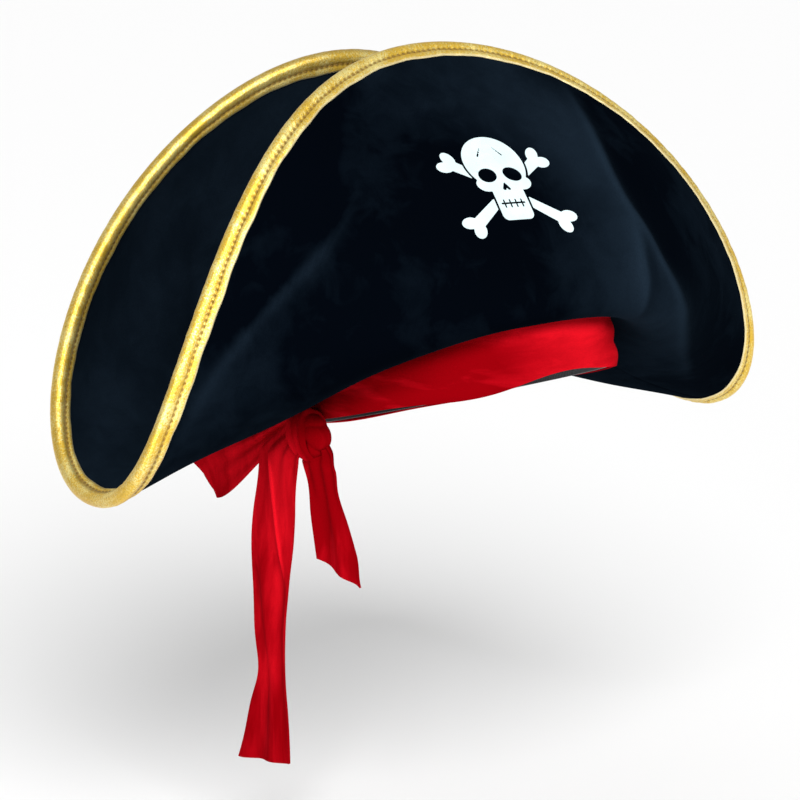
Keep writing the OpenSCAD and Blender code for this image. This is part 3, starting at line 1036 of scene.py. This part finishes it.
class HAT_OT_knot(Maker, label="Sash knot"):
    """Builds the knot: gathered cloth with a band wrapped over it"""

    def build(self, s):
        bm = bmesh.new()
        bmesh.ops.create_uvsphere(bm, u_segments=96, v_segments=64, radius=1)
        n = get_verts(bm)
        turn = np.arctan2(n[:, 2], n[:, 1])
        creases = abs(sin(2.5 * turn + 1.2 + 1.5 * n[:, 1])) ** 0.6 - 0.6
        creases = creases * (0.10 + 0.12 * abs(n[:, 1]))
        square = (abs(n) ** 3).sum(axis=1) ** (-1 / 3)
        points = n * col(0.55 * square + 0.45 + creases) * (7.2, 15.5, 11.5) + KNOT
        move_verts(bm, MM * points)
        core = settle(new_object("knot_gather", bm, "red"), 180)

        def place(x, y):
            a = 2 * pi * x
            across = 2 * y - 1
            folds = 0.7 * cos(2.6 * pi * across + 0.6 * sin(2 * a))
            folds = folds + 0.3 * sin(5 * a + 3 * across)
            curl = -1.6 * across ** 6
            rx, rz = 8.6 + folds + curl, 13.2 + folds + curl
            half = 6.6 + 1.2 * cos(a) ** 2
            lean = 3.2 * sin(a)
            return MM * (vec(rx * cos(a), across * half + lean + 0.5, rz * sin(a)) + KNOT)

        wrap = sheet_grid("knot_wrap", (120, 36), place, "red", (0.07, 0.014), closed=True)
        thicken(wrap, s.ribbon_thickness)
        stand_in(core, "sash_knot")
        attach(wrap, "hat")


class HAT_OT_bow_loop(Maker, label="Bow loop"):
    """Builds the bow's loop, a ribbon doubled back on itself"""

    def build(self, s):
        start = np.array([-89.0, 19.5, -12.0])
        turn = Matrix.Rotation(radians(12), 3, "Z") @ Matrix.Rotation(radians(-25), 3, "X")
        roll = Matrix.Rotation(radians(-12), 3, "Y")
        out, flat, up = (np.array(turn @ Vector(v)) for v in
                         ((0, 1, 0), roll @ Vector((-1, 0, 0)), roll @ Vector((0, 0, 1))))
        long = 74.0

        def place(x, y):
            a = pi * x
            f = sin(a)
            w = 2 * y - 1
            gap = 5.4 * sin(2 * a) * (0.45 + 0.55 * f)
            side = np.sign(cos(a))
            gather = 1.7 * cos(2.6 * pi * w + side) * (1 - f) ** 1.2
            flutter = 1.0 * sin(4.5 * f + 1.5 * w + side) * f
            half = 4.5 + 8.1 * ease(f) ** 1.2
            bow = 1.8 * (w * w - 0.35) * f * side
            shift = -2.6 * sin(2 * a) * f + 8 * (1 - f) ** 1.5
            along = -10 + (long + 10) * f + 2.0 * w * f
            return MM * (start + col(along) * out + col(gap + gather + flutter + bow) * flat
                         + col(w * half + shift) * up + vec(0, 0, -2.0 * f * f))

        obj = sheet_grid("bow_loop_ribbon", (150, 34), place, "red", (0.14, 0.026))
        thicken(obj, s.ribbon_thickness)
        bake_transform(obj)
        dress_ribbon("bow_loop")


def tail(s, name, long, counts, hinge, shape, nap, pieces):
    """A tail in pieces, each blended over the bend that it spans.

    shape and nap take a share of the length and a side from -1 to 1. counts: faces across, mm a row.
    """
    for part, (k0, k1), (first, second), heights, node in pieces:
        share = k1 - k0

        def place(x, y):
            return MM * shape(k0 + share * y, 2 * x - 1)

        def stands(x, y):
            return nap(k0 + share * y, 2 * x - 1)

        rows = round(share * mm(long) / counts[1])
        obj = sheet_grid(f"{name}_{part}", (counts[0], rows), place, "red", (0.036, 0.168 * share),
                         nap=stands)
        thicken(obj, s.ribbon_thickness)
        low, high = ((*hinge, z * MM) for z in heights)
        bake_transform(obj)
        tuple(low)
        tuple(high)
        dress_ribbon(node)


class HAT_OT_long_tail(Maker, label="Long tail"):
    """Builds the long tail in three pieces, one across each bend"""

    def build(self, s):
        long = mm(s.tail_length)

        def shape(k, w):
            top = minimum(k, 0)
            low = maximum(k, 0)
            pinch = 2.6 * bell(k - 0.73, 0.09)
            mid = 19 + 11 * sind(150 * low) + 12 * low ** 8 + 70 * top - pinch
            half = (16.8 - 1.0 * sind(180 * low) + 7 * low ** 6) * (1 + 4.5 * top) - pinch
            gather = 1.5 * cos(3.0 * pi * w + 0.5) * exp(-maximum(k + 0.05, 0) / 0.09)
            line = 0.45 - 3.0 * k
            streak = -2.6 * exp(-abs(w - line) / 0.22) * ease((0.46 - k) / 0.15)
            twist = -2.6 * w * sind(400 * k - 30) * ease(k / 0.2) + 1.4 * w * ease((k - 0.8) / 0.2)
            hang = 1.8 * cos(1.6 * pi * w + 5 * k) * ease((k - 0.25) / 0.3)
            ripple = 0.5 * sin(9 * k + 4 * w)
            x = -99 + gather + streak + twist + hang + ripple + 9 * ease(-k / 0.1)
            z = -22 - k * long - 8 * low ** 12 * (w + 1) / 2
            return vec(x, mid + w * half, z)

        def nap(k, w):
            streak = bell(w - 0.45 + 3.0 * k, 0.07) * ease(k / 0.04) * ease((0.42 - k) / 0.1)
            low = bell(w + 0.1, 0.5) * bell(k - 0.72, 0.07)
            return 0.8 * streak + 0.4 * low - 0.05

        tail(s, "long_tail", s.tail_length, (44, 1.1), (-0.099, 0.025), shape, nap, (
            ("a", (-0.12, 1 / 6), ("hat", "long_upper"), (-16, -34), "long_tail_upper"),
            ("b", (1 / 6, 1 / 2), ("long_upper", "long_middle"), (-66, -90), "long_tail_middle"),
            ("c", (1 / 2, 1), ("long_middle", "long_lower"), (-122, -146), "long_tail_lower")))


class HAT_OT_short_tail(Maker, label="Short tail"):
    """Builds the short tail in two pieces, one across each bend"""

    def build(self, s):
        short = mm(s.short_length)

        def shape(k, w):
            top = minimum(k, 0)
            low = maximum(k, 0)
            mid = -11 - 19 * low - 24 * top
            half = (11.4 + 6.3 * low ** 2 + 3.4 * bell(k, 0.16)) * (1 + 2.4 * top)
            half = half - 4.5 * ease((k - 0.72) / 0.28) * (w < 0)
            gather = 1.8 * cos(2.6 * pi * w) * exp(-maximum(k + 0.15, 0) / 0.35)
            fold = 1.6 * cos(1.4 * pi * w - 2.5 * k) * ease(k / 0.5)
            slant = ease((k - 0.4) / 0.6) * 5
            x = -95 + gather + fold - 2.0 * w * ease(k) + 4 * ease(-k / 0.15)
            return vec(x, mid + w * half, -22 - k * short + slant * w)

        def nap(k, w):
            return -0.25 + 0.3 * ease(k - 0.3) + 0 * w

        tail(s, "short_tail", s.short_length, (32, 1.0), (-0.095, -0.015), shape, nap, (
            ("a", (-0.2, 0.25), ("hat", "short_upper"), (-16, -32), "short_tail_upper"),
            ("b", (0.25, 1), ("short_upper", "short_lower"), (-42, -57), "short_tail_lower")))


# ---- stage

def add_light(name, kind, energy, towards, place=(0, 0, 0)):
    data = bpy.data.lights.new(name, kind)
    data.energy = energy
    obj = add_object(name, data)
    obj.location = place
    obj.rotation_euler = Vector(towards).to_track_quat("-Z", "Y").to_euler()
    return data


class HAT_OT_stage(Maker, label="Stage"):
    """Adds the floor, the soft lights and the camera"""

    def build(self, s):
        scene = bpy.context.scene
        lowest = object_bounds()[0][2]
        bm = bmesh.new()
        bmesh.ops.create_circle(bm, cap_ends=True, segments=96, radius=9,
                                matrix=Matrix.Translation((0, 0, lowest - s.floor_gap)))
        floor = new_object("floor", bm, "floor")
        floor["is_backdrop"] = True
        add_light("key", "SUN", 3.1, (0.50, 1.0, -0.85)).angle = radians(34)
        add_light("left_fill", "AREA", 16, (1.9, 0.75, -0.17), (-1.9, -0.7, 0.25)).size = 0.8
        world = bpy.data.worlds.new("studio")
        world.use_nodes = True
        sky = world.node_tree.nodes["Background"].inputs
        sky["Color"].default_value = (1, 1, 1, 1)
        sky["Strength"].default_value = 0.5
        scene.world = world
        scene.view_settings.view_transform = "Standard"
        self.camera(scene)

    @staticmethod
    def camera(scene):
        turn, rise = radians(-36), radians(13)
        away, to_left, down = 2.1, 0.0283, 0.0016
        back = Vector((sin(turn) * cos(rise), -cos(turn) * cos(rise), sin(rise)))
        right = Vector((cos(turn), sin(turn), 0))
        up = back.cross(right)
        data = bpy.data.cameras.new("camera")
        data.lens = 176.7
        data.sensor_width = 36
        camera = add_object("camera", data)
        place = Matrix((right, up, back)).transposed().to_4x4()
        place.translation = back * away - right * to_left - up * down
        camera.matrix_world = place
        scene.camera = camera


MAKERS = Maker.__subclasses__()      # in the order written here


class HAT_PT_hat(bpy.types.Panel):
    """Lists the hat's sizes, colours and pieces"""
    bl_idname = "HAT_PT_hat"
    bl_label = "Pirate Hat"
    bl_space_type = "VIEW_3D"
    bl_region_type = "UI"
    bl_category = "Hat"

    def draw(self, context):
        for group in (context.scene.hat_sizes, context.scene.hat_colours):
            for name in group.bl_rna.properties.keys():
                if name not in ("rna_type", "name"):
                    self.layout.prop(group, name)
        for maker in MAKERS:
            self.layout.operator(maker.bl_idname)


CLASSES = (HatSizes, HatColours, *MAKERS, HAT_PT_hat)


def register():
    for cls in CLASSES:
        bpy.utils.register_class(cls)
    bpy.types.Scene.hat_sizes = PointerProperty(type=HatSizes)
    bpy.types.Scene.hat_colours = PointerProperty(type=HatColours)


def unregister():
    del bpy.types.Scene.hat_colours
    del bpy.types.Scene.hat_sizes
    for cls in reversed(CLASSES):
        bpy.utils.unregister_class(cls)


def main():
    register()
    for maker in MAKERS:
        group, action = maker.bl_idname.split(".")
        getattr(getattr(bpy.ops, group), action)()


if __name__ == "__main__":
    main()
